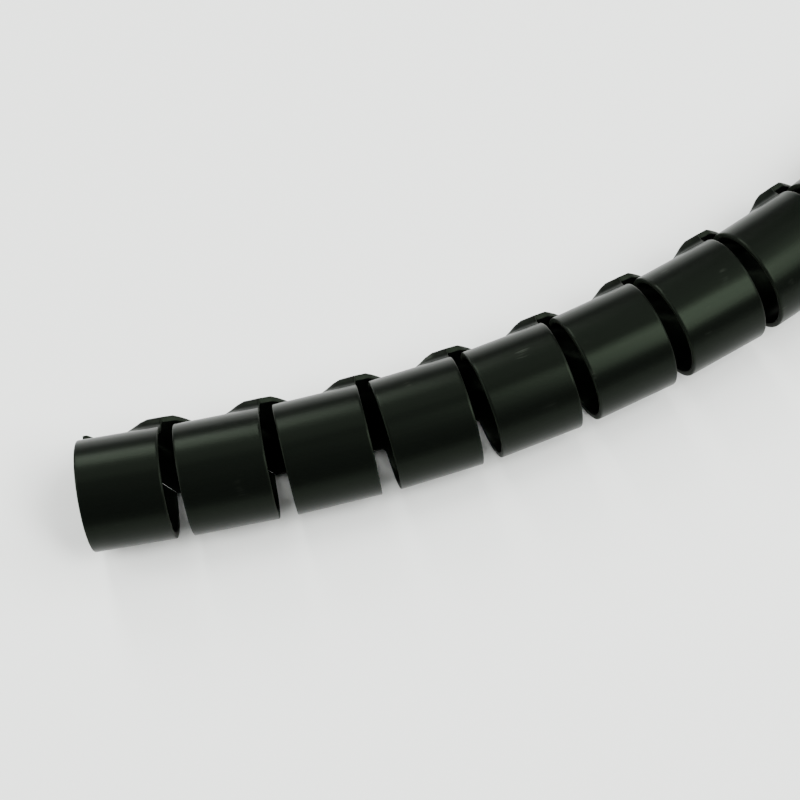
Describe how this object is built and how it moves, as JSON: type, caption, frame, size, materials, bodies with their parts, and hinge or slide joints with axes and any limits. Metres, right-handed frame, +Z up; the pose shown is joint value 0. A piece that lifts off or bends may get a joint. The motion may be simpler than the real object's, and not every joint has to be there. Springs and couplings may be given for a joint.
{
  "type": "spiral cable wrap",
  "caption": "Black plastic cable cover: a round tube slit along its whole length into one stepped spiral strip, bent at one end.",
  "frame": {"origin": "centre of the bounding box, on the level plane that the tube lies on", "axes": "+Z up; +Y along the straight run, out of the far end; the bent end starts along +X and faces -X"},
  "size_m": [0.3486, 0.7982, 0.025],
  "materials": {
    "slit_tube": "satin black polyolefin, smooth as extruded"
  },
  "bodies": {
    "root": {"slit_tube": "slit_tube"}
  },
  "joints": []
}
